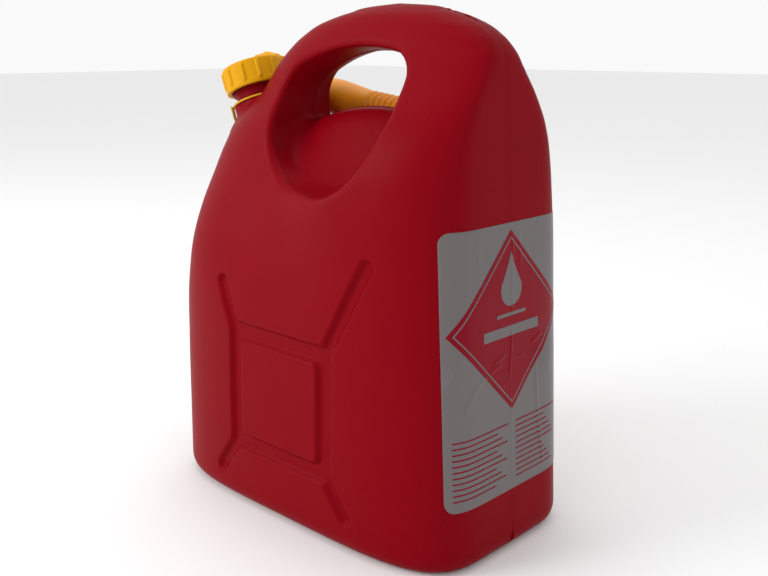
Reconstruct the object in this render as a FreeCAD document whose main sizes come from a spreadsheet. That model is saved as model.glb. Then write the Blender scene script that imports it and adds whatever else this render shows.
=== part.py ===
import FreeCAD, Part
import math
import os
import Sketcher
from FreeCAD import Vector, Placement, Rotation

# Plastic 20 litre fuel can with a screw cap, a tamper ring and a spare flexible pourer.
# Frame: +Z up, origin at the centre of the base, neck towards -X, label on the +X end,
# the pourer in a trough on the +Y shoulder.  Millimetres.

os.makedirs("parts", exist_ok=True)
doc = FreeCAD.newDocument("FuelCan")

# ----------------------------------------------------------------------------- sizes
SIZES = {
    # shell
    "wall": 3.0, "foot_radius": 16.0, "base_length": 338.0, "base_width": 198.0, "base_shift": 0.5,
    # neck and screw thread
    "neck_tilt": 21.2, "rim_x": -132.0, "rim_z": 351.6, "bore_radius": 18.0, "neck_radius": 21.2,
    "neck_top": 16.6, "neck_depth": 26.0, "bore_cut": 80.0, "skirt_radius": 30.0,
    "skirt_height": 16.0, "relief_radius": 30.6, "relief_low": -13.4, "relief_height": 60.0,
    "pitch": 6.0, "thread_out": 23.6, "thread_in": 21.8,
    # cap
    "cap_radius": 28.4, "cap_inner": 24.2, "cap_height": 22.5, "cap_roof": 3.2, "cap_round": 3.5,
    "cap_rib": 1.6, "rib_width": 4.0, "rib_count": 12, "seal_inner": 15.5, "seal_outer": 21.6,
    "seal_thick": 2.4,
    # tamper ring and its pull tab
    "ring_low": -12.2, "ring_high": -10.0, "ring_inner": 24.4, "ring_outer": 26.8, "tab_width": 9.0,
    "tab_length": 14.0, "tab_thick": 1.6,
    # spare pourer, measured along its own axis from the mouth of the collar
    "pourer_x": -184.0, "pourer_y": 50.0, "pourer_z": 357.6, "pourer_slope": 7.12,
    "collar_radius": 26.0, "collar_inner": 24.2, "collar_length": 22.0, "collar_roof": 2.8,
    "collar_hole": 16.5, "flange_radius": 23.4, "flange_thick": 3.0, "tube_radius": 16.2,
    "tube_wall": 1.8, "tube_end": 150.0, "tube_small": 12.4, "taper_start": 112.0,
    "bellows_end": 222.0, "bellows_crest": 13.0, "bellows_root": 10.6, "bellows_wall": 1.2,
    "bellows_turns": 11, "nozzle_end": 266.0, "nozzle_radius": 11.2, "nozzle_tip": 9.6,
    "nozzle_wall": 1.5, "plug_start": 254.0, "plug_end": 279.0, "plug_radius": 12.2,
    "air_radius": 3.0, "air_wall": 0.8, "air_offset": 11.6, "air_start": 26.0, "air_end": 104.0,
    # side panel channels
    "channel_depth": 4.0, "channel_low": 50.0, "channel_high": 167.0, "channel_front": -65.0,
    "channel_back": 62.0, "panel_low": 67.5, "panel_high": 148.5, "panel_front": -48.5,
    "panel_back": 43.0, "arm_width": 14.0,
    # label
    "label_low": 52.3, "label_high": 263.7, "label_width": 148.0, "label_corner": 9.0,
    "label_thick": 0.4, "label_gap": 0.15,
}
sheet = doc.addObject("Spreadsheet::Sheet", "Sizes")
for row, (alias, value) in enumerate(SIZES.items(), start=1):
    sheet.set(f"A{row}", alias)
    sheet.set(f"B{row}", str(value))
    sheet.setAlias(f"B{row}", alias)
doc.recompute()


class Dim:
    """A number together with the spreadsheet expression it comes from."""

    def __init__(self, value, text):
        self.value, self.text = value, text

    def __add__(self, other):
        other = dim(other)
        return Dim(self.value + other.value, f"({self.text} + {other.text})")

    def __sub__(self, other):
        other = dim(other)
        return Dim(self.value - other.value, f"({self.text} - {other.text})")

    def __mul__(self, number):
        return Dim(self.value * number, f"({self.text} * {number})")


def dim(thing):
    if isinstance(thing, Dim):
        return thing
    if isinstance(thing, str):
        return Dim(float(sheet.get(thing)), f"Sizes.{thing}")
    return Dim(float(thing), f"{float(thing)}")


def size(alias):
    return float(sheet.get(alias))


# ------------------------------------------------------------------- sketch helpers
def plane(body, role):
    return next(f for f in body.Origin.OriginFeatures if f.Role == role)


def sketch_on(body, role, name, offset=None):
    sketch = body.newObject("Sketcher::SketchObject", name)
    sketch.AttachmentSupport = [(plane(body, role), "")]
    sketch.MapMode = "FlatFace"
    if offset is not None:
        sketch.AttachmentOffset = Placement(Vector(0, 0, offset.value), Rotation())
        sketch.setExpression("AttachmentOffset.Base.z", offset.text)
    return sketch


def pin_to_origin(sketch, geo, pos, x, y):
    """Hold a sketch point at (x, y), each bound to the sheet; zero lies on the axis."""
    for kind, value, axis in (("DistanceX", x, -2), ("DistanceY", y, -1)):
        if abs(value.value) < 1e-9:
            sketch.addConstraint(Sketcher.Constraint("PointOnObject", geo, pos, axis))
            continue
        index = sketch.addConstraint(
            Sketcher.Constraint(kind, -1, 1, geo, pos, value.value))
        sketch.setExpression(f"Constraints[{index}]", value.text)


def closed_profile(sketch, points):
    points = [(dim(x), dim(y)) for x, y in points]
    count = len(points)
    for i in range(count):
        (xa, ya), (xb, yb) = points[i], points[(i + 1) % count]
        sketch.addGeometry(Part.LineSegment(Vector(xa.value, ya.value, 0),
                                            Vector(xb.value, yb.value, 0)), False)
    for i in range(count):
        sketch.addConstraint(Sketcher.Constraint("Coincident", i, 2, (i + 1) % count, 1))
    for i, (x, y) in enumerate(points):
        pin_to_origin(sketch, i, 1, x, y)


def turned(name, points):
    """A body turned about its own Z axis from an (r, z) profile."""
    body = doc.addObject("PartDesign::Body", name)
    body.Label = name
    sketch = sketch_on(body, "XZ_Plane", name + "_profile")
    closed_profile(sketch, points)
    turn = body.newObject("PartDesign::Revolution", name + "_turn")
    turn.Profile = sketch
    turn.ReferenceAxis = (sketch, ["V_Axis"])
    turn.Angle = 360
    doc.recompute()
    return body


def ribs(body, radius, height, low, top, count):
    """Grip ribs: one block padded up the side, repeated round the axis."""
    sketch = sketch_on(body, "XY_Plane", body.Name + "_rib_profile", dim(low))
    half = dim("rib_width") * 0.5
    inner, outer = dim(radius) - dim(1.5), dim(radius) + dim(height)
    closed_profile(sketch, [(inner, half * -1), (outer, half * -0.72), (outer, half * 0.72),
                            (inner, half)])
    pad = body.newObject("PartDesign::Pad", body.Name + "_rib")
    pad.Profile = sketch
    pad.Length = (dim(top) - dim(low)).value
    pad.setExpression("Length", (dim(top) - dim(low)).text)
    doc.recompute()
    pattern = body.newObject("PartDesign::PolarPattern", body.Name + "_ribs")
    pattern.Originals = [pad]
    pattern.Axis = (sketch, ["N_Axis"])
    pattern.Angle = 360
    pattern.Occurrences = int(dim(count).value)
    pattern.setExpression("Occurrences", dim(count).text)
    body.Tip = pattern
    doc.recompute()


# --------------------------------------------------------------------- free shapes
def ease(low, high, x):
    t = min(1.0, max(0.0, (x - low) / (high - low)))
    return t * t * (3 - 2 * t)


# Sections of the shell: height, front end, back end, half width at the neck, half width at
# the label end, how square the front and back are, and how much of the back is a flat panel.
SECTIONS = [
    (60, -167.6, 165.9, 97.8, 97.8, 4.3, 4.3, 0.50), (130, -166.7, 162.6, 96.2, 96.2, 4.3, 4.3, 0.52),
    (185, -165.6, 159.9, 94.0, 95.0, 4.2, 4.3, 0.53), (225, -164.0, 158.1, 87.5, 94.0, 4.0, 4.3, 0.53),
    (255, -162.0, 156.7, 77.5, 93.0, 3.6, 4.3, 0.54), (280, -158.0, 155.5, 67.5, 91.0, 3.2, 4.2, 0.54),
    (303, -151.0, 154.3, 60.5, 87.5, 2.9, 4.1, 0.56), (322, -140.0, 153.3, 56.0, 81.0, 2.7, 4.0, 0.59),
    (336, -126.0, 152.5, 51.0, 72.5, 2.6, 4.0, 0.60), (348, -111.0, 151.8, 45.0, 62.5, 2.6, 4.0, 0.61),
    (362, -100.0, 150.9, 38.5, 50.0, 2.6, 3.9, 0.59), (376, -89.0, 149.9, 34.0, 39.5, 2.6, 3.7, 0.44),
    (388, -76.0, 147.2, 29.5, 31.5, 2.6, 3.3, 0.30), (399, -60.0, 138.0, 24.5, 26.0, 2.6, 3.0, 0.06),
    (409, -38.0, 120.5, 19.0, 20.0, 2.6, 2.8, 0.0), (416.5, -8.0, 96.0, 12.0, 12.5, 2.5, 2.6, 0.0),
    (421.0, 18.0, 70.0, 4.0, 4.2, 2.2, 2.2, 0.0), (422.8, 38.0, 50.0, 1.0, 1.0, 2.0, 2.0, 0.0),
]
WIRE_POINTS = 36
PANEL_EDGE = 3.0


def closed_wire(points):
    """Closed smooth wire; every wire shares its knots, which keeps the lofts light."""
    curve = Part.BSplineCurve()
    shared = [i / len(points) for i in range(len(points) + 1)]
    curve.interpolate(Points=points, PeriodicFlag=True, Parameters=shared)
    return Part.Wire(curve.toShape())


def soft_min(a, b, k):
    blend = min(1.0, max(0.0, 0.5 + 0.5 * (b - a) / k))
    return b + (a - b) * blend - k * blend * (1 - blend)


def shell_wire(z, front, back, narrow, broad, n_front, n_back, flat):
    """One section of the shell: a superellipse with its back end cut flat."""
    middle, half = (front + back) / 2, (back - front) / 2
    longer = half / (1 - flat ** n_back) ** (1 / n_back)
    points = []
    for i in range(WIRE_POINTS):
        angle = 2 * math.pi * i / WIRE_POINTS
        cosine, sine = math.cos(angle), math.sin(angle)
        n, reach = (n_back, longer) if cosine > 0 else (n_front, half)
        x = middle + reach * math.copysign(abs(cosine) ** (2 / n), cosine)
        width = narrow + (broad - narrow) * ease(-45, 65, x)
        if flat > 0.1 and cosine > 0:
            x = soft_min(x, back, PANEL_EDGE)
        points.append(Vector(x, width * math.copysign(abs(sine) ** (2 / n), sine), z))
    return closed_wire(points)


def shell(inset, floor, top):
    """The can's outside, moved in by inset, from floor up to top."""
    radius = size("foot_radius")
    base_back = size("base_length") / 2 + size("base_shift")
    base_front = -size("base_length") / 2 + size("base_shift")
    foot = (0, base_front, base_back, size("base_width") / 2, size("base_width") / 2, 4.3, 4.3, 0.0)
    rows = []
    for step in range(5):
        angle = math.radians(22.5 * step)
        rows.append((floor + (radius - inset) * (1 - math.sin(angle)),
                     radius * (1 - math.cos(angle)), foot))
    rows = sorted(rows, key=lambda r: r[0])
    rows = [(z, extra, foot) for z, extra, foot in rows]
    rows += [(s[0], 0.0, s) for s in SECTIONS if s[0] <= top]
    wires = []
    for z, extra, s in rows:
        front, back = s[1] + inset + extra, s[2] - inset - extra
        narrow, broad = s[3] - inset - extra, s[4] - inset - extra
        if narrow > 0.5:
            wires.append(shell_wire(z, front, back, narrow, broad, *s[5:]))
    return Part.makeLoft(wires, True, False)


# The hand hole is pinched together at the middle plane and flares into a scoop on both sides.
# Distance from the middle, then the opening there: front, back, height of the crown of its
# floor and of its roof, how far the floor has dropped at the front, how strongly the roof is
# arched, and the radii of its lower front and lower back corners.
HAND_HOLE = [
    (0, -57, 76, 342.5, 387.3, 14.5, 0.0042, 10, 20), (8, -57, 78, 340.5, 387.7, 14, 0.0040, 13, 24),
    (16, -56.5, 80, 332.5, 388.5, 13, 0.0036, 18, 30), (24, -56, 82, 320, 389.8, 11, 0.0030, 25, 36),
    (32, -56, 84, 307, 391, 8, 0.0027, 33, 42), (42, -56, 87.5, 293, 392.2, 4, 0.0024, 43, 51),
    (52, -56.5, 90, 284.5, 393, 1, 0.0022, 52, 59), (60, -57, 92, 281, 393.5, 0, 0.0022, 54, 65),
    (68, -57, 93.5, 279, 394.2, 0, 0.0022, 55, 70), (76, -56, 94.5, 277.5, 395, 0, 0.0020, 55, 72),
    (88, -56, 95, 276, 396, 0, 0.0020, 55, 72), (112, -55, 96, 275, 399, 0, 0.0020, 55, 72),
]
HOLE_POINTS = 44
CROWN_X, FRONT_RUN, ARCH_X, TOP_CORNER = 25.0, 75.0, 30.0, 18.0


def hole_gap(x, z, row):
    """How far a point lies outside the hole's section; negative inside it."""
    _, front, back, low, high, drop, arch, r_front, r_back = row
    floor = low - drop * ((x - CROWN_X) / FRONT_RUN) ** 2
    roof = high - arch * (x - ARCH_X) ** 2
    ahead = x < front + 60
    if z > roof - TOP_CORNER - 4:
        radius, dz = TOP_CORNER, z - roof
    else:
        radius, dz = r_front if ahead else r_back, floor - z
    dx = (front - x if ahead else x - back) + radius
    dz += radius
    return math.hypot(max(dx, 0), max(dz, 0)) + min(max(dx, dz), 0) - radius


def hole_wire(row, grow, side):
    y, front, back, low, high = row[:5]
    cx, cz = (front + back) / 2, (low + high) / 2
    points = []
    for i in range(HOLE_POINTS):
        angle = 2 * math.pi * i / HOLE_POINTS
        dx, dz = (back - front) / 2 * math.cos(angle), (high - low) / 2 * math.sin(angle)
        near, far = 0.0, 2.5
        for _ in range(40):
            mid = (near + far) / 2
            if hole_gap(cx + dx * mid, cz + dz * mid, row) < grow:
                near = mid
            else:
                far = mid
        points.append(Vector(cx + dx * near, side * y, cz + dz * near))
    return closed_wire(points)


def hand_hole(grow, side):
    return Part.makeLoft([hole_wire(row, grow, side) for row in HAND_HOLE], True, False)


def along_pourer(shape):
    """Put a shape built on the Z axis onto the pourer's axis (local -X up, +Y outwards)."""
    shape.Placement = pourer_place
    return shape


# Trough: start and end along the pourer, reach towards the middle and down from its axis, and
# the radius between its wall and its floor.
TROUGH = ((22.0, 168.0, 28.0, 20.0, 15.0), (150.0, 298.0, 18.5, 18.5, 18.5))


def trough(grow):
    """The open trough that the pourer lies in, on its own axis."""
    reach, open_side = 120.0, 90.0
    whole = None
    for start, end, inward, down, radius in TROUGH:
        low, length = start - grow, end - start + 2 * grow
        wall, floor, r = -inward - grow, down + grow, radius + grow
        corner = Part.makeCylinder(r, length, Vector(floor - r, wall + r, low))
        above = Part.makeBox(reach + floor - r, open_side - wall, length,
                             Vector(-reach, wall, low))
        beside = Part.makeBox(reach + floor, open_side - wall - r, length,
                              Vector(-reach, wall + r, low))
        part = corner.fuse(above).fuse(beside)
        whole = part if whole is None else whole.fuse(part)
    return along_pourer(whole)


def capsule(xa, za, xb, zb, width):
    """Flat round-ended strip in the XZ plane."""
    direction = Vector(xb - xa, 0, zb - za)
    normal = Vector(-direction.z, 0, direction.x).normalize() * (width / 2)
    a, b = Vector(xa, 0, za), Vector(xb, 0, zb)
    out = direction.normalize() * (width / 2)
    edges = [Part.LineSegment(a + normal, b + normal).toShape(),
             Part.Arc(b + normal, b + out, b - normal).toShape(),
             Part.LineSegment(b - normal, a - normal).toShape(),
             Part.Arc(a - normal, a - out, a + normal).toShape()]
    return Part.Face(Part.Wire(edges))


def rounded_rectangle(x0, x1, z0, z1, r):
    corners = [(x0 + r, z0), (x1 - r, z0), (x1, z0 + r), (x1, z1 - r),
               (x1 - r, z1), (x0 + r, z1), (x0, z1 - r), (x0, z0 + r)]
    points = [Vector(x, 0, z) for x, z in corners]
    k = r * (1 - math.sqrt(0.5))
    mids = [Vector(x1 - k, 0, z0 + k), Vector(x1 - k, 0, z1 - k),
            Vector(x0 + k, 0, z1 - k), Vector(x0 + k, 0, z0 + k)]
    edges = []
    for i in range(4):
        edges.append(Part.LineSegment(points[2 * i], points[2 * i + 1]).toShape())
        edges.append(Part.Arc(points[2 * i + 1], mids[i], points[(2 * i + 2) % 8]).toShape())
    return Part.Face(Part.Wire(edges))


# Diagonal arms of the side channel, from (x, z) to (x, z), the lean of the side walls and how
# far the base's half width is from the wall's face at the floor.
ARMS = [(-55, 156, -76, 196), (52, 156, 95, 234), (52, 60, 76, 30), (-55, 60, -79, 28)]
WALL_LEAN, FACE_OUT = 0.0235, 0.35


def channels(grow, side):
    """Square channel with four diagonal arms, sunk into a side wall that leans inwards."""
    g = grow
    outer = rounded_rectangle(size("channel_front") - g, size("channel_back") + g,
                              size("channel_low") - g, size("channel_high") + g, 10 + g)
    inner = rounded_rectangle(size("panel_front") + g, size("panel_back") - g,
                              size("panel_low") + g, size("panel_high") - g, 4)
    flat = outer.cut(inner)
    for xa, za, xb, zb in ARMS:
        flat = flat.fuse(capsule(xa, za, xb, zb, size("arm_width") + 2 * g))
    solid = flat.extrude(Vector(0, 60, 0))
    lean = math.degrees(math.atan(WALL_LEAN))
    depth = size("base_width") / 2 + FACE_OUT - size("channel_depth") - grow
    solid.Placement = Placement(Vector(0, depth, 0), Rotation(Vector(1, 0, 0), lean))
    if side < 0:
        solid = solid.mirror(Vector(0, 0, 0), Vector(0, 1, 0))
    return solid


def screw_thread(root, crest, base, tip, low, turns, inward=False):
    """A helical ridge as a closed solid, root buried 0.4 mm in its wall."""
    bury = 0.4 if inward else -0.4
    pitch = size("pitch")
    r0 = root + bury
    helix = Part.makeLongHelix(pitch, pitch * turns, r0, 0)
    profile = Part.makePolygon([Vector(r0, 0, -base / 2), Vector(crest, 0, -tip / 2),
                                Vector(crest, 0, tip / 2), Vector(r0, 0, base / 2),
                                Vector(r0, 0, -base / 2)])
    ridge = Part.Wire(helix).makePipeShell([profile], True, True)
    ridge.translate(Vector(0, 0, low))
    return ridge


def stored(name, shape, placement=None):
    """A piece whose free-form shape is set directly."""
    feature = doc.addObject("Part::Feature", name)
    feature.Label = name
    feature.Shape = shape
    feature.Placement = placement or Placement()
    return feature


# ------------------------------------------------------------------------ placements
neck_place = Placement(Vector(size("rim_x"), 0, size("rim_z")),
                       Rotation(Vector(0, 1, 0), -size("neck_tilt")))
pourer_place = Placement(Vector(size("pourer_x"), size("pourer_y"), size("pourer_z")),
                         Rotation(Vector(0, 1, 0), 90 + size("pourer_slope")))

# -------------------------------------------------------------------------- can body
outside = shell(0.0, 0.0, 430)
inside = shell(size("wall"), size("wall") + 0.5, 410)

neck_low = -size("neck_depth")
neck_outer = Part.makeCylinder(size("neck_radius"), size("neck_top") - neck_low,
                               Vector(0, 0, neck_low))
collar_skirt = Part.makeCone(size("skirt_radius"), size("neck_radius"), size("skirt_height"),
                             Vector(0, 0, neck_low - 6))
neck_outer = neck_outer.fuse(collar_skirt)
ridge = screw_thread(size("neck_radius"), size("thread_out"), 3.0, 1.4, -6.0, 3.25)
neck_bore = Part.makeCylinder(size("bore_radius"), size("bore_cut"),
                              Vector(0, 0, size("neck_top") - size("bore_cut")))
relief = Part.makeCylinder(size("relief_radius"), size("relief_height"),
                           Vector(0, 0, size("relief_low")))
deep_relief = Part.makeCylinder(size("relief_radius") + size("wall"), size("relief_height"),
                                Vector(0, 0, size("relief_low") - size("wall")))
for piece in (neck_outer, ridge, neck_bore, relief, deep_relief):
    piece.Placement = neck_place.multiply(piece.Placement)

cuts = [hand_hole(0.0, 1), hand_hole(0.0, -1), trough(0.0), relief,
        channels(0.0, 1), channels(0.0, -1)]
cores = [hand_hole(size("wall"), 1), hand_hole(size("wall"), -1), trough(size("wall")), deep_relief,
         channels(size("wall"), 1), channels(size("wall"), -1)]
body_shape = outside
for tool in cuts:
    body_shape = body_shape.cut(tool)
hollow = inside
for tool in cores:
    hollow = hollow.cut(tool)
hollow = max(hollow.Solids, key=lambda s: s.Volume)
print(f"inside volume {hollow.Volume / 1e6:.2f} litres")
body_shape = body_shape.fuse(neck_outer).fuse(ridge)
body_shape = body_shape.cut(hollow).cut(neck_bore)
body_shape = max(body_shape.Solids, key=lambda s: s.Volume)
can_body = stored("can_body", body_shape)

# ------------------------------------------------------------------------------ label
half_label = size("label_width") / 2
sheet_outline = rounded_rectangle(-half_label, half_label, size("label_low"), size("label_high"),
                                  size("label_corner"))
prism = sheet_outline.extrude(Vector(0, 120, 0))
prism.Placement = Placement(Vector(80, 0, 0), Rotation(Vector(0, 0, 1), -90))
outer_skin = shell(-size("label_thick") - size("label_gap"), 0.0, 330)
inner_skin = shell(-size("label_gap"), 0.0, 330)
label_shape = outer_skin.common(prism).cut(inner_skin)
stored("hazard_label", max(label_shape.Solids, key=lambda s: s.Volume))

# -------------------------------------------------------------------------------- cap
zero = dim(0.0)
cap_top = dim("cap_height")
roof = dim("cap_height") - dim("cap_roof")
cap = turned("cap", [
    ("cap_inner", zero), ("cap_radius", zero), ("cap_radius", cap_top - dim("cap_round")),
    (dim("cap_radius") - dim("cap_round") * 0.3, cap_top - dim("cap_round") * 0.3),
    (dim("cap_radius") - dim("cap_round"), cap_top), (zero, cap_top), (zero, roof),
    ("cap_inner", roof)])
ribs(cap, "cap_radius", "cap_rib", zero, dim("cap_height") - dim("cap_round"), "rib_count")


def inner_thread(body):
    """Thread inside a cap or collar: a helix swept along the wall and fused to the body."""
    sketch = sketch_on(body, "XZ_Plane", body.Name + "_thread_profile")
    root, crest = dim("cap_inner") + dim(0.4), dim("thread_in")
    mid = dim(THREAD_START)
    closed_profile(sketch, [(crest, mid - dim(0.6)), (root, mid - dim(1.2)),
                            (root, mid + dim(1.2)), (crest, mid + dim(0.6))])
    helix = body.newObject("PartDesign::AdditiveHelix", body.Name + "_thread")
    helix.Profile = sketch
    helix.ReferenceAxis = (sketch, ["V_Axis"])
    helix.Mode = 0
    helix.Pitch = size("pitch")
    helix.setExpression("Pitch", "Sizes.pitch")
    helix.Height = size("pitch") * 1.5
    helix.setExpression("Height", "Sizes.pitch * 1.5")
    helix.Angle = 0
    helix.LeftHanded = False
    helix.Reversed = False
    body.Tip = helix
    doc.recompute()


# The neck ridge passes x > 0 at heights -6, 0, 6 ...; the cap's ridge runs half a pitch on.
THREAD_START = 3.0
inner_thread(cap)
cap.Placement = neck_place

cap_seal = turned("cap_seal", [
    ("seal_inner", roof - dim("seal_thick")), ("seal_outer", roof - dim("seal_thick")),
    ("seal_outer", roof), ("seal_inner", roof)])
cap_seal.Placement = neck_place

# ------------------------------------------------------------------------ tamper ring
ring_height = dim("ring_high") - dim("ring_low")
ring_place = neck_place.multiply(Placement(Vector(0, 0, size("ring_low")), Rotation()))
tamper_ring = turned("tamper_ring", [
    ("ring_inner", zero), ("ring_outer", zero), ("ring_outer", ring_height),
    ("ring_inner", ring_height)])
tamper_ring.Placement = ring_place

pull_tab = doc.addObject("PartDesign::Body", "pull_tab")
pull_tab.Label = "pull_tab"
tab_sketch = sketch_on(pull_tab, "XY_Plane", "pull_tab_profile")
half_tab = dim("tab_width") * 0.5
tab_out = dim("ring_outer") + dim(0.4)
closed_profile(tab_sketch, [
    (tab_out * -1, half_tab * -1), ((tab_out + dim("tab_thick")) * -1, half_tab * -1),
    ((tab_out + dim("tab_thick")) * -1, half_tab), (tab_out * -1, half_tab)])
tab_pad = pull_tab.newObject("PartDesign::Pad", "pull_tab_pad")
tab_pad.Profile = tab_sketch
tab_pad.Length = size("tab_length")
tab_pad.setExpression("Length", "Sizes.tab_length")
tab_pad.Reversed = True
doc.recompute()
pull_tab.Placement = neck_place.multiply(
    Placement(Vector(0, 0, size("ring_high")), Rotation(Vector(0, 0, 1), 40)))

# ----------------------------------------------------------------------------- pourer
collar_floor = dim("collar_length") - dim("collar_roof")
collar = turned("pourer_collar", [
    ("collar_inner", zero), ("collar_radius", zero),
    ("collar_radius", dim("collar_length") - dim(2.0)),
    (dim("collar_radius") - dim(2.0), "collar_length"), ("collar_hole", "collar_length"),
    ("collar_hole", collar_floor), ("collar_inner", collar_floor)])
ribs(collar, "collar_radius", "cap_rib", zero, dim("collar_length") - dim(3.0), "rib_count")
inner_thread(collar)
collar.Placement = pourer_place

flange_top = collar_floor - dim(0.3)
flange_low = flange_top - dim("flange_thick")
bore = dim("tube_radius") - dim("tube_wall")
small_bore = dim("tube_small") - dim("tube_wall")
pourer_base = turned("pourer_base", [
    (bore, flange_low), ("flange_radius", flange_low), ("flange_radius", flange_top),
    ("tube_radius", flange_top), ("tube_radius", "taper_start"), ("tube_small", "tube_end"),
    (small_bore, "tube_end"), (bore, "taper_start")])
pourer_base.Placement = pourer_place

pourer_seal = turned("pourer_seal", [
    (dim("seal_inner") + dim(1.0), flange_low - dim("seal_thick")),
    ("seal_outer", flange_low - dim("seal_thick")), ("seal_outer", flange_low),
    (dim("seal_inner") + dim(1.0), flange_low)])
pourer_seal.Placement = pourer_place

air_tube = doc.addObject("Part::Cut", "air_tube")
air_rod = doc.addObject("Part::Cylinder", "air_tube_outside")
air_hole = doc.addObject("Part::Cylinder", "air_tube_hole")
for cylinder, radius in ((air_rod, dim("air_radius")),
                         (air_hole, dim("air_radius") - dim("air_wall"))):
    length = dim("air_end") - dim("air_start")
    cylinder.Radius, cylinder.Height = radius.value, length.value
    cylinder.setExpression("Radius", radius.text)
    cylinder.setExpression("Height", length.text)
    cylinder.Placement = Placement(Vector(0, 0, size("air_start")), Rotation())
air_tube.Base, air_tube.Tool = air_rod, air_hole
air_tube.Label = "air_tube"
air_tube.Placement = pourer_place.multiply(
    Placement(Vector(-size("air_offset"), 0, 0), Rotation()))

turns = int(size("bellows_turns"))
step = (dim("bellows_end") - dim("tube_end")) * (1.0 / turns)
outer_line, inner_line = [], []
for i in range(turns):
    z0 = dim("tube_end") + step * i
    outer_line += [("bellows_root", z0 + step * 0.12), ("bellows_crest", z0 + step * 0.38),
                   ("bellows_crest", z0 + step * 0.62), ("bellows_root", z0 + step * 0.88)]
for radius, height in reversed(outer_line):
    inner_line.append((dim(radius) - dim("bellows_wall"), dim(height)))
bellows_points = [("bellows_root", "tube_end")] + outer_line + [("bellows_root", "bellows_end")]
bellows_points += [(dim("bellows_root") - dim("bellows_wall"), "bellows_end")] + inner_line
bellows_points += [(dim("bellows_root") - dim("bellows_wall"), "tube_end")]
bellows = turned("pourer_bellows", bellows_points)
bellows.Placement = pourer_place

nozzle = turned("pourer_nozzle", [
    (dim("nozzle_radius") - dim("nozzle_wall"), "bellows_end"),
    (dim("nozzle_radius") + dim(1.6), "bellows_end"),
    (dim("nozzle_radius") + dim(1.6), dim("bellows_end") + dim(5.0)),
    ("nozzle_radius", dim("bellows_end") + dim(7.0)),
    ("nozzle_tip", "nozzle_end"), (dim("nozzle_tip") - dim("nozzle_wall"), "nozzle_end")])
nozzle.Placement = pourer_place

plug_wall = dim(1.8)
nozzle_plug = turned("nozzle_cap", [
    (dim("plug_radius") - plug_wall, "plug_start"), (dim("plug_radius") + dim(1.2), "plug_start"),
    (dim("plug_radius") + dim(1.2), dim("plug_start") + dim(3.0)),
    ("plug_radius", dim("plug_start") + dim(3.5)), ("plug_radius", dim("plug_end") - dim(1.5)),
    (dim("plug_radius") - dim(1.5), "plug_end"), (zero, "plug_end"),
    (zero, dim("plug_end") - dim(2.2)), (dim("plug_radius") - plug_wall,
                                         dim("plug_end") - dim(2.2))])
nozzle_plug.Placement = pourer_place

# ---------------------------------------------------------------------- check, export
doc.recompute()
for thing in doc.Objects:
    for state in thing.State:
        if state in ("Invalid", "Error"):
            raise RuntimeError(f"{thing.Label}: {state}")
NODES = ["can_body", "hazard_label", "cap", "cap_seal", "tamper_ring", "pull_tab",
         "pourer_collar", "pourer_base", "pourer_seal", "air_tube", "pourer_bellows",
         "pourer_nozzle", "nozzle_cap"]
for label in NODES:
    thing = doc.getObjectsByLabel(label)[0]
    shape = thing.Shape
    if shape.isNull() or not shape.isValid() or len(shape.Solids) != 1:
        raise RuntimeError(f"{label}: bad shape, {len(shape.Solids)} solids")
    shape.exportStep(f"parts/{label}.step")
    box = shape.BoundBox
    print(f"{label:16s} {shape.Volume / 1000:9.1f} cm3  x {box.XMin:7.1f} {box.XMax:7.1f}"
          f"  y {box.YMin:7.1f} {box.YMax:7.1f}  z {box.ZMin:7.1f} {box.ZMax:7.1f}")
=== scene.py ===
"""Looks of the plastic fuel can: shell, screw neck, cap, tamper ring, label and spare pourer.

Lengths are millimetres until mesh_object() turns them into metres. Shapes given by a field are
negative inside and positive outside, and read close to a distance near their surface.
"""

import math

import bpy
import numpy as np
from mathutils import Matrix, Vector


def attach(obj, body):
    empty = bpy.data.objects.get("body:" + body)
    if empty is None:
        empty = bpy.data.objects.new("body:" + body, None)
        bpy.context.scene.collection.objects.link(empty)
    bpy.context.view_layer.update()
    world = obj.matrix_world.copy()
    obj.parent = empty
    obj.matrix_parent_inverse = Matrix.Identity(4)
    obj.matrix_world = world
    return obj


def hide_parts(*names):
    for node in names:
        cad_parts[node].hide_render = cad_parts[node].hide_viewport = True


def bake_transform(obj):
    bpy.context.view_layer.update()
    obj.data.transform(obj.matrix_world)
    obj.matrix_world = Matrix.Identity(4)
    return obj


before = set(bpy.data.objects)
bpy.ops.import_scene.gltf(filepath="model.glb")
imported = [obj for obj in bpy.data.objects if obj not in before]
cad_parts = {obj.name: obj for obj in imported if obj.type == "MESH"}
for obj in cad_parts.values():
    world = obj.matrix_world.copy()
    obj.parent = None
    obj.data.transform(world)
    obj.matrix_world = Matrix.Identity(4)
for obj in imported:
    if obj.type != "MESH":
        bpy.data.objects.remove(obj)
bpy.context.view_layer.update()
MM = 0.001

# ------------------------------------------------------------------ driving dimensions
VOXEL = 2.6
INNER_VOXEL = 5.5
SIDE_STEP = 1.3
SIDE_AREA = ((-96.0, 114.0), (16.0, 254.0))
NET_LOW, NET_HIGH = (-176, -106, -6), (178, 106, 430)
WALL = 3.2
FOOT_RADIUS = 17.0
PANEL_EDGE = 2.6
BORE_RADIUS = 18.0
NECK_RADIUS = 21.2
NECK_TOP = 16.6
THREAD_OUT = 23.6
THREAD_IN = 21.8
PITCH = 6.0
CAP_RADIUS = 28.4
CAP_INNER = 24.2
CAP_HEIGHT = 22.5
CAP_ROOF = 3.2
RIB_COUNT = 12
CHANNEL_DEPTH = 4.0
CHANNEL_OUTER = (-65, 62, 50, 167, 12)
CHANNEL_INNER = (-48.5, 43, 67.5, 148.5, 5)
ARMS = ((-55, 156, -76, 196), (52, 156, 95, 234), (52, 60, 76, 30), (-55, 60, -79, 28))
ARM_WIDTH = 14.5
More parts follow.
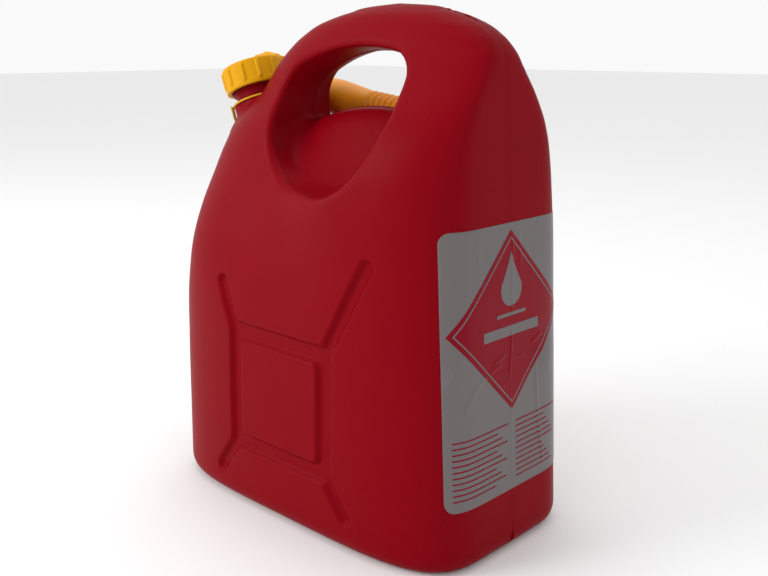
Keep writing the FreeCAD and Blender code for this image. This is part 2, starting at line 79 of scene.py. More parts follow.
# Radii that ease one shape into the next.
HOLE_EDGE, TROUGH_EDGE, RELIEF_EDGE, STUB_EDGE, BORE_EDGE = 7, 8, 3, 6, 4
LABEL_LOW, LABEL_HIGH, LABEL_HALF = 52.3, 263.7, 74.0
LABEL_GAP = 0.2
TILT = math.radians(21.2)
RIM = np.array([-132.0, 0.0, 351.6])
SLOPE = math.radians(7.12)
POURER = np.array([-184.0, 50.0, 357.6])

# Shell sections: height, front end, back end, half width at the neck, half width at the
# label end, squareness at the front and at the back.
SECTIONS = np.array([
    (0, -168.5, 169.5, 99.0, 99.0, 4.3, 4.3), (60, -167.6, 165.9, 97.8, 97.8, 4.3, 4.3),
    (130, -166.7, 162.6, 96.2, 96.2, 4.3, 4.3), (185, -165.6, 159.9, 94.0, 95.0, 4.2, 4.3),
    (225, -164.0, 158.1, 87.5, 94.0, 4.0, 4.3), (255, -162.0, 156.7, 77.5, 93.0, 3.6, 4.3),
    (280, -158.0, 155.5, 67.5, 91.0, 3.2, 4.2), (303, -151.0, 154.3, 60.5, 87.5, 2.9, 4.1),
    (322, -140.0, 153.3, 56.0, 81.0, 2.7, 4.0), (336, -126.0, 152.5, 51.0, 72.5, 2.6, 4.0),
    (348, -111.0, 151.8, 45.0, 62.5, 2.6, 4.0), (362, -100.0, 150.9, 38.5, 50.0, 2.6, 3.9),
    (376, -89.0, 149.9, 34.0, 39.5, 2.6, 3.7), (388, -76.0, 147.2, 29.5, 31.5, 2.6, 3.3),
    (399, -60.0, 138.0, 24.5, 26.0, 2.6, 3.0), (409, -38.0, 120.5, 19.0, 20.0, 2.6, 2.8),
    (416.5, -8.0, 96.0, 12.0, 12.5, 2.5, 2.6), (421.0, 18.0, 70.0, 4.0, 4.2, 2.2, 2.2),
    (422.2, 38.0, 50.0, 1.0, 1.0, 2.0, 2.0),
])
# The flat panel at the label end: height and how much of the half width is flat.
PANEL = np.array([(0, 0.45), (60, 0.50), (130, 0.52), (225, 0.53), (280, 0.54), (303, 0.56),
                  (322, 0.59), (348, 0.61), (362, 0.59), (376, 0.44), (388, 0.30), (399, 0.06),
                  (409, 0.0), (423, 0.0)])
# Hand hole: distance from the middle plane, then front, back, height of the crown of the floor
# and of the roof, the floor's drop at the front, the roof's arch, and the radii of the lower
# front and lower back corners.
HAND_HOLE = np.array([
    (0, -57, 76, 342.5, 387.3, 14.5, 0.0042, 10, 20), (8, -57, 78, 340.5, 387.7, 14, 0.0040, 13, 24),
    (16, -56.5, 80, 332.5, 388.5, 13, 0.0036, 18, 30), (24, -56, 82, 320, 389.8, 11, 0.0030, 25, 36),
    (32, -56, 84, 307, 391, 8, 0.0027, 33, 42), (42, -56, 87.5, 293, 392.2, 4, 0.0024, 43, 51),
    (52, -56.5, 90, 284.5, 393, 1, 0.0022, 52, 59), (60, -57, 92, 281, 393.5, 0, 0.0022, 54, 65),
    (68, -57, 93.5, 279, 394.2, 0, 0.0022, 55, 70), (76, -56, 94.5, 277.5, 395, 0, 0.0020, 55, 72),
    (88, -56, 95, 276, 396, 0, 0.0020, 55, 72), (112, -55, 96, 275, 399, 0, 0.0020, 55, 72),
])
CROWN_X, FRONT_RUN, ARCH_X, TOP_CORNER = 25.0, 75.0, 30.0, 18.0
CURVE_REACH = (-80.0, 115.0)  # where along x the floor's and roof's curves run on
RELIEF_RADIUS, RELIEF_LOW = 30.6, -13.4
# Trough for the pourer: start and end along it, reach towards the middle and down from the
# pourer's axis, and the radius between its wall and floor.
TROUGH = ((22, 168, 28.0, 20.0, 15.0), (150, 298, 18.5, 18.5, 18.5))


# -------------------------------------------------------------------- smooth functions
def hermite(table, column, at):
    """Smooth curve through one column of a table, read against its first column."""
    knots, values = table[:, 0], table[:, column]
    slopes = np.gradient(values, knots)
    at = np.clip(at, knots[0], knots[-1])
    i = np.clip(np.searchsorted(knots, at) - 1, 0, len(knots) - 2)
    gap = knots[i + 1] - knots[i]
    t = (at - knots[i]) / gap
    t2, t3 = t * t, t * t * t
    return ((2 * t3 - 3 * t2 + 1) * values[i] + (t3 - 2 * t2 + t) * gap * slopes[i]
            + (3 * t2 - 2 * t3) * values[i + 1] + (t3 - t2) * gap * slopes[i + 1])


def ease(low, high, x):
    t = np.clip((x - low) / (high - low), 0.0, 1.0)
    return t * t * (3 - 2 * t)


def smooth_max(a, b, k):
    blend = np.clip(0.5 + 0.5 * (a - b) / k, 0.0, 1.0)
    return b + (a - b) * blend + k * blend * (1 - blend)


def smooth_min(a, b, k):
    return -smooth_max(-a, -b, k)


def true_scale(function, x, y, z, reach=0.5):
    """A field divided by its own slope, so that it reads close to a distance."""
    value = function(x, y, z)
    slope = np.sqrt((function(x + reach, y, z) - value) ** 2 + (function(x, y + reach, z) - value) ** 2
                    + (function(x, y, z + reach) - value) ** 2) / reach
    return value / np.maximum(slope, 0.15)


def shell_raw(x, y, z):
    """Inside or outside of the shell's sections, not yet in true scale."""
    front, back, narrow, broad, n_front, n_back = (
        hermite(SECTIONS, c, z) for c in range(1, 7))
    flat = np.maximum(hermite(PANEL, 1, z), 0.0)
    middle, half = (back + front) / 2, (back - front) / 2
    longer = half / (1 - flat ** n_back) ** (1 / n_back)
    u = (x - middle) / np.where(x > middle, longer, half)
    n = np.where(u > 0, n_back, n_front)
    width = narrow + (broad - narrow) * ease(-45, 65, x)
    reach = (np.abs(u) ** n + np.abs(y / width) ** n) ** (1 / n)
    return (reach - 1) * np.minimum(half, width) + 5 * np.maximum(z - SECTIONS[-1, 0], 0)


def panel_field(x, z):
    """The flat face at the label end, leaning in as it rises."""
    return (x - hermite(SECTIONS, 2, z)) * 0.998


def hole_raw(x, y, z):
    """Inside or outside of the hand hole and its scoops, not yet in true scale."""
    off = np.abs(y)
    front, back, low, high, drop, arch, r_front, r_back = (
        hermite(HAND_HOLE, c, off) for c in range(1, 9))
    near = np.clip(x, *CURVE_REACH)
    floor = low - drop * ((near - CROWN_X) / FRONT_RUN) ** 2
    roof = high - arch * (near - ARCH_X) ** 2
    ahead, upper = x < front + 60, z > roof - TOP_CORNER - 4
    radius = np.where(upper, TOP_CORNER, np.where(ahead, r_front, r_back))
    dx = np.where(ahead, front - x, x - back) + radius
    dz = np.where(upper, z - roof, floor - z) + radius
    return (np.hypot(np.maximum(dx, 0), np.maximum(dz, 0))
            + np.minimum(np.maximum(dx, dz), 0) - radius)


def pourer_coordinates(x, y, z):
    """Distance along the pourer, outwards from it and up from it."""
    dx, dy, dz = x - POURER[0], y - POURER[1], z - POURER[2]
    return (dx * math.cos(SLOPE) - dz * math.sin(SLOPE), dy,
            dx * math.sin(SLOPE) + dz * math.cos(SLOPE))


def neck_coordinates(x, y, z):
    """Radius from the neck axis and height along it, from the cap's rim."""
    dx, dz = x - RIM[0], z - RIM[2]
    height = -dx * math.sin(TILT) + dz * math.cos(TILT)
    across = dx * math.cos(TILT) + dz * math.sin(TILT)
    return np.hypot(across, y), height


def trough_field(x, y, z):
    """The trough beside the handle that the pourer lies in."""
    along, out, up = pourer_coordinates(x, y, z)
    whole = None
    for start, end, inward, down, radius in TROUGH:
        wall, floor = radius - inward - out, radius - down - up
        corner = np.where((wall > 0) & (floor > 0), np.hypot(wall, floor), np.maximum(wall, floor))
        part = smooth_max(corner - radius, np.abs(along - (start + end) / 2) - (end - start) / 2, 12)
        whole = part if whole is None else smooth_min(whole, part, 10)
    return whole


def box_2d(u, v, u0, u1, v0, v1, corner):
    """A rectangle with rounded corners."""
    du = np.abs(u - (u0 + u1) / 2) - (u1 - u0) / 2 + corner
    dv = np.abs(v - (v0 + v1) / 2) - (v1 - v0) / 2 + corner
    return np.hypot(np.maximum(du, 0), np.maximum(dv, 0)) + np.minimum(np.maximum(du, dv), 0) - corner


def strip_2d(u, v, ua, va, ub, vb, width):
    """A straight strip with round ends."""
    length = (ub - ua) ** 2 + (vb - va) ** 2
    t = np.clip(((u - ua) * (ub - ua) + (v - va) * (vb - va)) / length, 0, 1)
    return np.hypot(u - ua - t * (ub - ua), v - va - t * (vb - va)) - width / 2


def channel_sink(x, y, z):
    """How far the side wall is sunk: a square channel with four diagonal arms."""
    shape = np.maximum(box_2d(x, z, *CHANNEL_OUTER), -box_2d(x, z, *CHANNEL_INNER))
    for arm in ARMS:
        shape = smooth_min(shape, strip_2d(x, z, *arm, ARM_WIDTH), 3)
    return CHANNEL_DEPTH * (1 - ease(-5.0, 0.8, shape)) * ease(50, 75, np.abs(y))


def outer_field(x, y, z):
    """The outside of the shell, without its neck."""
    body = true_scale(shell_raw, x, y, z)
    body = smooth_max(body, panel_field(x, z), PANEL_EDGE)
    body = smooth_max(body, -z, FOOT_RADIUS)
    body = body + channel_sink(x, y, z)
    body = smooth_max(body, -true_scale(hole_raw, x, y, z), HOLE_EDGE)
    body = smooth_max(body, -trough_field(x, y, z), TROUGH_EDGE)
    radius, height = neck_coordinates(x, y, z)
    relief = np.maximum(radius - RELIEF_RADIUS, RELIEF_LOW - height)
    return smooth_max(body, -relief, RELIEF_EDGE)


def can_field(x, y, z):
    """The outside of the shell with the stub that the neck tube stands on."""
    body = outer_field(x, y, z)
    radius, height = neck_coordinates(x, y, z)
    skirt = NECK_RADIUS - 0.2 + 4.2 * ease(-8, -13, height) + 7.8 * ease(-20, -34, height)
    stub = np.maximum(radius - skirt, height + 8.0)
    stub = np.maximum(stub, -height - 45)
    return smooth_min(body, stub, STUB_EDGE)


def cavity_field(x, y, z):
    """The hollow of the shell, one wall in from the outside, opening into the neck's bore."""
    body = outer_field(x, y, z) + WALL
    radius, height = neck_coordinates(x, y, z)
    bore = np.maximum(radius - BORE_RADIUS - 0.6, np.maximum(height - 4.0, -height - 60))
    return smooth_min(body, bore, BORE_EDGE)


# ------------------------------------------------------------------------------ meshing
def surface_net(function, low, high, step):
    """Quads over the zero surface of a field, with vertices moved onto it."""
    axes = [np.arange(low[i], high[i] + step, step) for i in range(3)]
    x, y, z = np.meshgrid(*axes, indexing="ij")
    field = np.empty(x.shape)
    for i in range(0, x.shape[0], 16):
        part = slice(i, i + 16)
        field[part] = function(x[part], y[part], z[part])
    inside = field < 0
    shape = tuple(n - 1 for n in field.shape)
    corners = [(a, b, c) for a in (0, 1) for b in (0, 1) for c in (0, 1)]

    def cell(array, corner):
        return array[corner[0]:corner[0] + shape[0], corner[1]:corner[1] + shape[1],
                     corner[2]:corner[2] + shape[2]]

    filled = sum(cell(inside, c).astype(np.int8) for c in corners)
    mixed = (filled > 0) & (filled < 8)
    where = np.argwhere(mixed)
    index = np.full(shape, -1, dtype=np.int64)
    index[mixed] = np.arange(len(where))
    total, hits = np.zeros((len(where), 3)), np.zeros(len(where))
    values = {c: cell(field, c)[mixed] for c in corners}
    for a in corners:
        for axis in range(3):
            if a[axis]:
                continue
            b = tuple(1 if i == axis else a[i] for i in range(3))
            cross = (values[a] < 0) != (values[b] < 0)
            t = values[a] / np.where(cross, values[a] - values[b], 1.0)
            point = np.tile(np.array(a, float), (len(where), 1))
            point[:, axis] = t
            total[cross] += point[cross]
            hits[cross] += 1
    points = (where + total / hits[:, None]) * step + np.array([a[0] for a in axes])
    quads = []
    for axis in range(3):
        one, two = (axis + 1) % 3, (axis + 2) % 3
        along = [slice(None)] * 3
        first, second = list(along), list(along)
        first[axis], second[axis] = slice(0, -1), slice(1, None)
        a, b = inside[tuple(first)], inside[tuple(second)]
        edges = np.argwhere(a != b)
        keep = np.all((edges[:, [one, two]] > 0)
                      & (edges[:, [one, two]] < np.array(shape)[[one, two]]), axis=1)
        edges = edges[keep]
        leaving = a[tuple(edges.T)]
        ring = []
        for d1, d2 in ((-1, -1), (0, -1), (0, 0), (-1, 0)):
            c = edges.copy()
            c[:, one] += d1
            c[:, two] += d2
            ring.append(index[tuple(c.T)])
        ring = np.stack(ring, 1)
        ring[~leaving] = ring[~leaving][:, ::-1]
        quads.append(ring)
    quads = np.concatenate(quads)
    for _ in range(3):
        value, slope = value_and_slope(function, points)
        move = -value[:, None] * slope / np.maximum((slope ** 2).sum(1), 0.05)[:, None]
        size = np.linalg.norm(move, axis=1)
        points += move * np.minimum(1, 0.7 * step / np.maximum(size, 1e-9))[:, None]
    return points, quads


def value_and_slope(function, points, reach=0.25):
    x, y, z = points.T
    slope = np.stack([
        function(x + reach, y, z) - function(x - reach, y, z),
        function(x, y + reach, z) - function(x, y - reach, z),
        function(x, y, z + reach) - function(x, y, z - reach)], 1) / (2 * reach)
    return function(x, y, z), slope


def mesh_object(name, points, faces, body, material, nodes=(), smooth=True, normals=None):
    """Make a mesh from millimetre points, hang it on the body it rides on and hide the CAD parts it
    stands in for.

    The body is a name, or (body, body, start, end) for a piece that lies between two bodies; such a
    piece is only baked in place and hung on neither.
    """
    mesh = bpy.data.meshes.new(name)
    mesh.from_pydata([tuple(p) for p in np.asarray(points, float) * MM], [],
                     [tuple(int(i) for i in f) for f in faces])
    mesh.validate()
    if smooth:
        mesh.shade_smooth()
    if normals is not None:
        mesh.normals_split_custom_set_from_vertices([tuple(n) for n in normals])
    mesh.materials.append(material)
    piece = bpy.data.objects.new(name, mesh)
    bpy.context.scene.collection.objects.link(piece)
    if isinstance(body, tuple):
        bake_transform(piece)
    else:
        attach(piece, body)
    if nodes:
        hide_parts(*nodes)
    return piece


def without(points, quads, drop, normals):
    """The mesh with some vertices, and the faces that use them, taken away."""
    keep_face = ~drop[quads].any(1)
    quads = quads[keep_face]
    used = np.zeros(len(points), bool)
    used[quads.ravel()] = True
    renumber = np.cumsum(used) - 1
    return points[used], renumber[quads], normals[used]


def placed(points, place):
    """Move local points by a frame given as (origin, x axis, y axis, z axis)."""
    points = np.asarray(points, float)
    origin, ex, ey, ez = place
    return origin + points[:, :1] * ex + points[:, 1:2] * ey + points[:, 2:3] * ez


NECK = (RIM, np.array([math.cos(TILT), 0, math.sin(TILT)]), np.array([0, 1.0, 0]),
        np.array([-math.sin(TILT), 0, math.cos(TILT)]))
SPOUT = (POURER, np.array([-math.sin(SLOPE), 0, -math.cos(SLOPE)]), np.array([0, 1.0, 0]),
         np.array([math.cos(SLOPE), 0, -math.sin(SLOPE)]))


def turned(profile, place, segments, radius=None):
    """Turn an (r, z) profile round the place's z axis; radius(r, z, angle) may shape it.

    A closed profile ends where it starts; a profile that begins or ends on the axis is capped.
    """
    closed = profile[0] == profile[-1]
    rows = profile[:-1] if closed else profile
    angles = np.arange(segments) * 2 * math.pi / segments
    points, rings = [], []
    for r, z in rows:
        if r == 0:
            rings.append([len(points)])
            points.append((0, 0, z))
            continue
        rr = np.full(segments, float(r)) if radius is None else radius(r, z, angles)
        rings.append(list(range(len(points), len(points) + segments)))
        points += list(zip(rr * np.cos(angles), rr * np.sin(angles), np.full(segments, float(z))))
    faces = []
    pairs = list(zip(rings, rings[1:])) + ([(rings[-1], rings[0])] if closed else [])
    for a, b in pairs:
        for j in range(segments):
            k = (j + 1) % segments
            if len(a) == 1:
                faces.append((a[0], b[k], b[j]))
            elif len(b) == 1:
                faces.append((a[j], a[k], b[0]))
            else:
                faces.append((a[j], a[k], b[k], b[j]))
    return placed(points, place), faces


def rounded(corners, step=0.5):
    """An (r, z) polyline with its marked corners rounded: each corner is (r, z, radius)."""
    out = []
    count = len(corners)
    for i, (r, z, radius) in enumerate(corners):
        here = np.array([r, z], float)
        if radius <= 0 or i in (0, count - 1):
            out.append((float(r), float(z)))
            continue
        before = np.array(corners[i - 1][:2], float) - here
        after = np.array(corners[i + 1][:2], float) - here
        la, lb = np.linalg.norm(before), np.linalg.norm(after)
        before, after = before / la, after / lb
        half = math.acos(float(np.clip(before @ after, -1, 1))) / 2
        back = min(radius / math.tan(half), la * 0.49, lb * 0.49)
        centre_to = back / math.cos(half)
        middle = (before + after) / np.linalg.norm(before + after) * centre_to + here
        start, end = here + before * back, here + after * back
        a0 = math.atan2(*(start - middle)[::-1])
        a1 = math.atan2(*(end - middle)[::-1])
        turn = (a1 - a0 + math.pi) % (2 * math.pi) - math.pi
        arc = np.linalg.norm(start - middle)
        pieces = max(2, int(abs(turn) * arc / step) + 1)
        for j in range(pieces + 1):
            a = a0 + turn * j / pieces
            out.append((middle[0] + arc * math.cos(a), middle[1] + arc * math.sin(a)))
    return out


# ---------------------------------------------------------------------------- materials
def plastic(name, colour, roughness, grain=0.0, grain_size=1.2, drift=0.0, drift_size=60.0,
            dark=0.75, gloss=0.5):
    """Moulded plastic: fine pebble in the surface and a slow drift in tone."""
    material = bpy.data.materials.new(name)
    material.use_nodes = True
    tree = material.node_tree
    shader = tree.nodes["Principled BSDF"]
    shader.inputs["Base Color"].default_value = (*colour, 1)
    shader.inputs["Roughness"].default_value = roughness
    shader.inputs["Specular IOR Level"].default_value = gloss
    place = tree.nodes.new("ShaderNodeTexCoord")
    if grain:
        noise = tree.nodes.new("ShaderNodeTexNoise")
        noise.inputs["Scale"].default_value = 1000.0 / grain_size
        noise.inputs["Detail"].default_value = 2.0
        bump = tree.nodes.new("ShaderNodeBump")
        bump.inputs["Strength"].default_value = grain
        bump.inputs["Distance"].default_value = 0.0004
        tree.links.new(place.outputs["Object"], noise.inputs["Vector"])
        tree.links.new(noise.outputs["Fac"], bump.inputs["Height"])
        tree.links.new(bump.outputs["Normal"], shader.inputs["Normal"])
    if drift:
        slow = tree.nodes.new("ShaderNodeTexNoise")
        slow.inputs["Scale"].default_value = 1000.0 / drift_size
        slow.inputs["Detail"].default_value = 4.0
        ramp = tree.nodes.new("ShaderNodeMapRange")
        ramp.inputs["From Min"].default_value = 0.3
        ramp.inputs["From Max"].default_value = 0.7
        ramp.inputs["To Max"].default_value = drift
        mix = tree.nodes.new("ShaderNodeMix")
        mix.data_type = "RGBA"
        mix.inputs["A"].default_value = (*colour, 1)
        mix.inputs["B"].default_value = (*[c * dark for c in colour], 1)
        tree.links.new(place.outputs["Object"], slow.inputs["Vector"])
        tree.links.new(slow.outputs["Fac"], ramp.inputs["Value"])
        tree.links.new(ramp.outputs["Result"], mix.inputs["Factor"])
        tree.links.new(mix.outputs["Result"], shader.inputs["Base Color"])
    return material


RED = plastic("can_red", (0.205, 0.0, 0.0045), 0.42, grain=0.3, drift=0.5, dark=0.9, gloss=0.04)
OCHRE = plastic("cap_ochre", (0.68, 0.325, 0.002), 0.48, grain=0.15, drift=0.6, gloss=0.08)
ORANGE = plastic("pourer_orange", (0.84, 0.315, 0.016), 0.34, grain=0.1, drift=0.5, gloss=0.25)
YELLOW = plastic("ring_yellow", (0.62, 0.36, 0.010), 0.40, gloss=0.15)
PAPER = plastic("label_film", (0.145, 0.127, 0.129), 0.36, drift=0.4, dark=0.93, gloss=0.2)
PRINT = plastic("label_red", (0.205, 0.0, 0.0085), 0.34, gloss=0.1)
BLACK = plastic("seal_rubber", (0.02, 0.02, 0.02), 0.6)
CLEAR = plastic("air_tube_natural", (0.70, 0.66, 0.52), 0.35)


# -------------------------------------------------------------------------- can and neck
def can_shell():
    """The outside of the can, less the areas that side_wall() meshes on a finer grid."""
    points, quads = surface_net(can_field, NET_LOW, NET_HIGH, VOXEL)
    _, normals = value_and_slope(can_field, points)
    radius, height = neck_coordinates(*points.T)
    drop = (radius < NECK_RADIUS - 1.6) & (height > -14) & (height < 0)
    x, y, z = points.T
    (x0, x1), (z0, z1) = SIDE_AREA
    drop |= (x > x0 + 3) & (x < x1 - 3) & (z > z0 + 3) & (z < z1 - 3) & (np.abs(y) > 60)
    points, quads, normals = without(points, quads, drop, normals)
    normals /= np.linalg.norm(normals, axis=1)[:, None]
    return mesh_object("can_shell", points, quads, "can", RED, ["can_body"],
                       normals=normals)


def side_wall(name, sign):
    """The pressed channels of one side wall, on a finer grid than the rest of the shell."""
    (x0, x1), (z0, z1) = SIDE_AREA
    x, z = np.meshgrid(np.arange(x0, x1 + SIDE_STEP, SIDE_STEP),
                       np.arange(z0, z1 + SIDE_STEP, SIDE_STEP), indexing="ij")
    count = x.shape
    x, z = x.ravel(), z.ravel()
    y = np.full(len(x), 96.0)
    for _ in range(14):
        value = outer_field(x, sign * y, z)
        slope = (outer_field(x, sign * (y + 0.2), z) - value) / 0.2
        y -= np.clip(value / np.maximum(slope, 0.4), -6, 6)
    points = np.stack([x, sign * y, z], 1)
    _, normals = value_and_slope(outer_field, points, 0.4)
    normals /= np.linalg.norm(normals, axis=1)[:, None]
    index = np.arange(len(x)).reshape(count)
    quads = np.stack([index[:-1, :-1], index[1:, :-1], index[1:, 1:], index[:-1, 1:]], -1)
    quads = quads.reshape(-1, 4)
    if sign > 0:
        quads = quads[:, ::-1]
    return mesh_object(name, points, quads, "can", RED, ["can_body"], normals=normals)


def can_cavity():
    """The inside of the can, facing inwards."""
    points, quads = surface_net(cavity_field, NET_LOW, NET_HIGH, INNER_VOXEL)
    _, normals = value_and_slope(cavity_field, points)
    radius, height = neck_coordinates(*points.T)
    drop = (height > 0.5) & (radius < 30)
    points, quads, normals = without(points, quads[:, ::-1], drop, normals)
    normals /= -np.linalg.norm(normals, axis=1)[:, None]
    return mesh_object("can_cavity", points, quads, "can", RED, ["can_body"],
                       normals=normals)


def first_solid(start, direction, near, far):
    """Where a ray in the middle plane first meets the can, coming from start."""
    ts = np.arange(near, far, 0.5 if far > near else -0.5)
    x, z = start[0] + direction[0] * ts, start[1] + direction[1] * ts
    solid = can_field(x, np.zeros(len(ts)), z) < 0
    if not solid.any():
        return None
    i = int(np.argmax(solid))
    a, b = ts[max(i - 1, 0)], ts[i]
    for _ in range(12):
        m = (a + b) / 2
        inside = can_field(*(np.array([v]) for v in (start[0] + direction[0] * m, 0.0,
                                                     start[1] + direction[1] * m)))[0] < 0
        a, b = (a, m) if inside else (m, b)
    return start[0] + direction[0] * b, start[1] + direction[1] * b


def seam_ridge(name, path, centre, away, high, wide):
    """A thin moulding ridge along points of the middle plane, standing away from centre (or to it)."""
    path = np.array([(x, 0.0, z) for x, z in path])
    along = np.gradient(path, axis=0)
    normal = np.stack([along[:, 2], np.zeros(len(path)), -along[:, 0]], 1)
    normal *= away * np.sign((normal * (path - centre)).sum(1))[:, None]
    normal /= np.linalg.norm(normal, axis=1)[:, None]
    side = np.array([0, wide / 2, 0])
    tall = np.array([high(x, z) for x, _, z in path])[:, None]
    rows = [path + side - normal * 0.3, path + side * 0.35 + normal * tall,
            path - side * 0.35 + normal * tall, path - side - normal * 0.3]
    n = len(path)
    faces = []
    for k in range(4):
        m = (k + 1) % 4
        faces += [(k * n + i, k * n + i + 1, m * n + i + 1, m * n + i) for i in range(n - 1)]
    faces += [(0, n, 2 * n, 3 * n), (4 * n - 1, 3 * n - 1, 2 * n - 1, n - 1)]
    return mesh_object(name, np.concatenate(rows), faces, "can", RED, ["can_body"])


def seams():
    """The mould's parting line down both ends and over the handle, and inside the hand hole."""
    middle, hole_middle = (0.0, 210.0), (8.0, 362.0)

    def outer_height(x, z):
        nubs = [(94, 1.0, 2.2), (101, 0.7, 1.6), (112, 0.9, 3.0), (119, 0.6, 2.0)]
        top = sum(h * math.exp(-((x - c) / w) ** 2) for c, h, w in nubs) if z > 400 else 0.0
        pinch = 1.6 * math.exp(-((z - 11) / 4.0) ** 2) if x > 100 else 0.0
        plain = 0.04 if x > 100 and LABEL_LOW - 4 < z < LABEL_HIGH + 4 else 0.15
        return plain + top + pinch

    runs = (("seam_back", -52, 128, outer_height), ("seam_front", 152, 232, outer_height))
    for name, first, last, high in runs:
        path = []
        for degrees in np.arange(first, last, 0.5):
            a = math.radians(degrees)
            hit = first_solid(middle, (math.cos(a), math.sin(a)), 300.0, 60.0)
            if hit:
                path.append(hit)
        seam_ridge(name, path, np.array([middle[0], 0.0, middle[1]]), 1, high, 1.1)
    path = []
    for degrees in np.arange(0, 358, 2.0):
        a = math.radians(degrees)
        hit = first_solid(hole_middle, (math.cos(a), math.sin(a)), 2.0, 120.0)
        if hit:
            path.append(hit)
    centre = np.array([hole_middle[0], 0.0, hole_middle[1]])
    seam_ridge("seam_hole", path, centre, -1, lambda x, z: 0.5, 1.4)


def ridge_height(distance, foot, tip):
    """A trapezoid ridge with eased sides: 1 within tip/2 of its middle, 0 beyond foot/2."""
    return 1 - ease(tip / 2, foot / 2, np.abs(distance))


def helix_distance(z, angle, start):
    """Distance along the axis to the nearest turn of the thread."""
    return (z - start - PITCH * angle / (2 * math.pi) + PITCH / 2) % PITCH - PITCH / 2


def neck_tube():
    """The neck with its outside thread; first and last are the heights the thread runs between."""
    low, first, last = -24.0, -6.0, 13.5
    profile = [(BORE_RADIUS, low), (NECK_RADIUS, low)]
    heights = np.arange(low + 2, NECK_TOP - 1.2, 0.5)
    profile += [(NECK_RADIUS, float(h)) for h in heights]
    profile += [(NECK_RADIUS - 0.2, NECK_TOP - 0.6), (NECK_RADIUS - 0.8, NECK_TOP),
                (BORE_RADIUS + 0.8, NECK_TOP), (BORE_RADIUS, NECK_TOP - 0.8)]
    profile.append(profile[0])

    def radius(r, z, angle):
        turn = angle / (2 * math.pi)
        passed = z - PITCH * turn
        fade = ease(first - 1.5, first + 1, passed + PITCH / 2) * (1 - ease(last - 2, last, z))
        ridge = ridge_height(helix_distance(z, angle, first), 3.2, 1.2) * fade
        on_wall = 1.0 if abs(r - NECK_RADIUS) < 1e-6 else 0.0
        return r + on_wall * (THREAD_OUT - NECK_RADIUS) * ridge

    points, faces = turned(profile, NECK, 160, radius)
    return mesh_object("can_neck", points, faces, "can", RED, ["can_body"])


# ---------------------------------------------------------------------- cap and collar
def grip_radius(outer, proud, low, high, width, count, lobed=False):
    """Radius function: grip ribs between two heights on the wall at radius outer."""
    def radius(r, z, angle):
        if abs(r - outer) > 0.9:
            return np.full(len(angle), float(r))
        step = 2 * math.pi / count
        away = np.abs((angle + step / 2) % step - step / 2) * outer
        if lobed:
            shape = np.cos(np.clip(away / (width / 2), 0, 1) * math.pi / 2) ** 0.8
        else:
            shape = 1 - ease(width / 2 - 0.7, width / 2 + 0.25, away)
        fade = ease(low - 0.8, low + 0.4, z) * (1 - ease(high - 1.2, high + 0.6, z))
        return r + proud * shape * fade
    return radius


def with_inner_thread(base_radius, inner, start, turns):
    """Adds an internal thread to a radius function, on the wall at radius inner."""
    def radius(r, z, angle):
        value = base_radius(r, z, angle)
        if abs(r - inner) > 1e-6:
            return value
        passed = z - start - PITCH * angle / (2 * math.pi)
        end = PITCH * (turns - 1)
        fade = ease(-2.0, 0.0, passed + 1.5) * (1 - ease(end - 1, end + 1, passed))
        ridge = ridge_height(helix_distance(z, angle, start), 2.4, 1.0)
        return value - (inner - THREAD_IN) * ridge * fade
    return radius


def cap_mesh():
    roof = CAP_HEIGHT - CAP_ROOF
    inner_wall = [(CAP_INNER, float(z)) for z in np.arange(roof - 0.6, 0.7, -0.45)]
    outer_wall = [(CAP_RADIUS, float(z)) for z in np.arange(5.0, CAP_HEIGHT - 3.6, 0.45)]
    profile = [(0, roof), (CAP_INNER - 1.0, roof)] + inner_wall
    profile += rounded([(CAP_INNER, 0.6, 0), (CAP_INNER + 0.7, 0.0, 0.5),
                        (CAP_RADIUS + 0.35, 0.0, 0.9), (CAP_RADIUS + 0.35, 4.0, 0.8),
                        (CAP_RADIUS, 4.6, 0)])[1:-1]
    profile += outer_wall
    profile += rounded([(CAP_RADIUS, CAP_HEIGHT - 4, 0), (CAP_RADIUS, CAP_HEIGHT, 3.4),
                        (CAP_RADIUS - 6, CAP_HEIGHT, 0)])[1:-1]
    profile += [(CAP_RADIUS - 6.5, CAP_HEIGHT), (CAP_RADIUS - 7.2, CAP_HEIGHT - 0.5),
                (CAP_RADIUS - 12, CAP_HEIGHT - 0.5), (0, CAP_HEIGHT - 0.5)]
    ribs = grip_radius(CAP_RADIUS, 1.5, 4.4, CAP_HEIGHT - 3.2, 3.6, RIB_COUNT)
    points, faces = turned(profile, NECK, 360, with_inner_thread(ribs, CAP_INNER, 3.0, 2.4))
    return mesh_object("cap_shell", points, faces, "cap", OCHRE, ["cap"])


def ring_mesh():
    low, high, inner, outer = -11.9, -10.2, 24.4, 26.6
    profile = rounded([(inner, (low + high) / 2, 0), (inner, low, 0.6), (outer, low, 0.7),
                       (outer, high, 0.7), (inner, high, 0.6), (inner, (low + high) / 2, 0)])
    points, faces = turned(profile, NECK, 160)
    return mesh_object("ring_band", points, faces, "ring", YELLOW, ["tamper_ring"])


def collar_mesh():
    radius, inner, hole, length, roof = 26.0, 24.2, 16.5, 22.0, 2.8
    floor = length - roof
    profile = [(inner, float(z)) for z in np.arange(0.6, floor - 0.3, 0.45)][::-1]
    profile = [(hole, floor), (inner - 0.4, floor)] + profile
    profile += rounded([(inner, 0.6, 0), (inner + 0.5, 0, 0.5), (radius, 0, 0.7),
                        (radius, 1.0, 0)])[1:-1]
    profile += [(radius, float(z)) for z in np.arange(1.2, length - 2.4, 0.45)]
    profile += rounded([(radius, length - 2.4, 0), (radius, length, 2.0), (hole, length, 0.6),
                        (hole, floor + 0.3, 0)])[1:]
    profile.append(profile[0])
    ribs = grip_radius(radius, 1.6, 1.4, length - 2.8, 8.5, RIB_COUNT, lobed=True)
    points, faces = turned(profile, SPOUT, 360, with_inner_thread(ribs, inner, 3.0, 2.4))
    return mesh_object("collar_shell", points, faces, "collar", OCHRE,
                       ["pourer_collar"])


